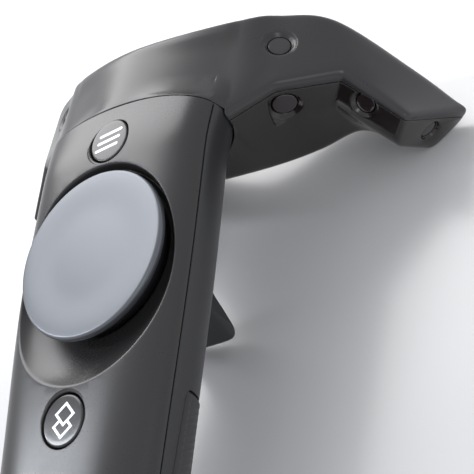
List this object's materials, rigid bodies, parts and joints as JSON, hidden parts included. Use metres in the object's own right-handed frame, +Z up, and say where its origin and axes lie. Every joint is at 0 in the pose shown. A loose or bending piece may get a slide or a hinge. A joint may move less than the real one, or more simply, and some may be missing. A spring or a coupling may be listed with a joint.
{
  "type": "vr motion controller",
  "caption": "Hand-held wand with a winged sensor head, clicking round trackpad, two face buttons, rear trigger and squeeze buttons on the sides.",
  "frame": {"origin": "centre of the bounding box at the height of the surface the controller lies on", "axes": "+X to the controller's right, +Y along the handle toward the sensor head, +Z up, out of the trackpad side as it lies on its back"},
  "size_m": [0.1192, 0.1855, 0.0465],
  "materials": {
    "satin_gunmetal": "satin metallic grey moulding",
    "soft_touch_back": "soft satin grey moulding",
    "gloss_black": "gloss brown-black",
    "silver_satin": "satin silver",
    "black_polymer": "matt black",
    "spring_steel": "bright",
    "gloss_keycap": "gloss charcoal",
    "light_guide_white": "lit white light guide",
    "chip_epoxy": "matt black",
    "nickel_magnet": "plated",
    "grip_rubber": "fine ridged",
    "circuit_board": "solder mask",
    "shield_can": "tinned",
    "battery_wrap": "shrink wrap",
    "flex_polyimide": "polyimide",
    "infrared_window": "infrared-clear gloss"
  },
  "bodies": {
    "controller": {"front_shell": "satin_gunmetal", "back_shell": "soft_touch_back", "end_cap": "satin_gunmetal", "head_top_shell": "satin_gunmetal", "head_bottom_shell": "gloss_black", "trackpad_frame": "black_polymer", "trackpad_switch": "spring_steel", "menu_switch": "chip_epoxy", "system_switch": "chip_epoxy", "trigger_pin": "spring_steel", "trigger_spring": "spring_steel", "trigger_bracket": "spring_steel", "hall_sensor": "chip_epoxy", "left_grip_switch": "chip_epoxy", "right_grip_switch": "chip_epoxy", "main_board": "circuit_board", "processor": "chip_epoxy", "radio_module": "shield_can", "battery": "battery_wrap", "haptic_motor": "shield_can", "head_board": "circuit_board", "flex_cable": "flex_polyimide", "usb_port": "spring_steel", "screw_upper": "spring_steel", "screw_lower": "spring_steel", "window_face_right": "infrared_window", "window_face_left": "infrared_window", "window_under_right": "infrared_window", "window_under_left": "infrared_window", "window_arm_right": "infrared_window", "window_arm_left": "infrared_window", "window_tip_right": "infrared_window", "window_tip_left": "infrared_window", "window_crest_right": "infrared_window", "window_crest_left": "infrared_window", "window_edge_right": "infrared_window", "window_edge_left": "infrared_window"},
    "trackpad": {"trackpad_disc": "silver_satin", "trackpad_skirt": "black_polymer"},
    "menu_key": {"menu_button": "gloss_keycap", "menu_icon": "light_guide_white"},
    "system_key": {"system_button": "gloss_keycap", "system_icon": "light_guide_white"},
    "trigger_lever": {"trigger": "black_polymer", "trigger_magnet": "nickel_magnet"},
    "left_grip": {"left_grip_button": "grip_rubber"},
    "right_grip": {"right_grip_button": "grip_rubber"}
  },
  "joints": [
    {"name": "trackpad_click", "type": "slide", "parent": "controller", "child": "trackpad", "axis": [0, 0.1472, -0.9891], "range_m": [0, 0.0005], "stiffness_N_per_m": 2000},
    {"name": "menu_press", "type": "slide", "parent": "controller", "child": "menu_key", "axis": [0, 0.1472, -0.9891], "range_m": [0, 0.0004], "stiffness_N_per_m": 800},
    {"name": "system_press", "type": "slide", "parent": "controller", "child": "system_key", "axis": [0, 0.1472, -0.9891], "range_m": [0, 0.0004], "stiffness_N_per_m": 800},
    {"name": "trigger_pull", "type": "hinge", "parent": "controller", "child": "trigger_lever", "pos_m": [0, 0.04255, 0.02577], "axis": [-1, 0, 0], "range_deg": [0, 17], "stiffness_Nm_per_rad": 0.08},
    {"name": "left_grip_press", "type": "slide", "parent": "controller", "child": "left_grip", "axis": [1, 0, 0], "range_m": [0, 0.0008], "stiffness_N_per_m": 1500},
    {"name": "right_grip_press", "type": "slide", "parent": "controller", "child": "right_grip", "axis": [-1, 0, 0], "range_m": [0, 0.0008], "stiffness_N_per_m": 1500}
  ]
}
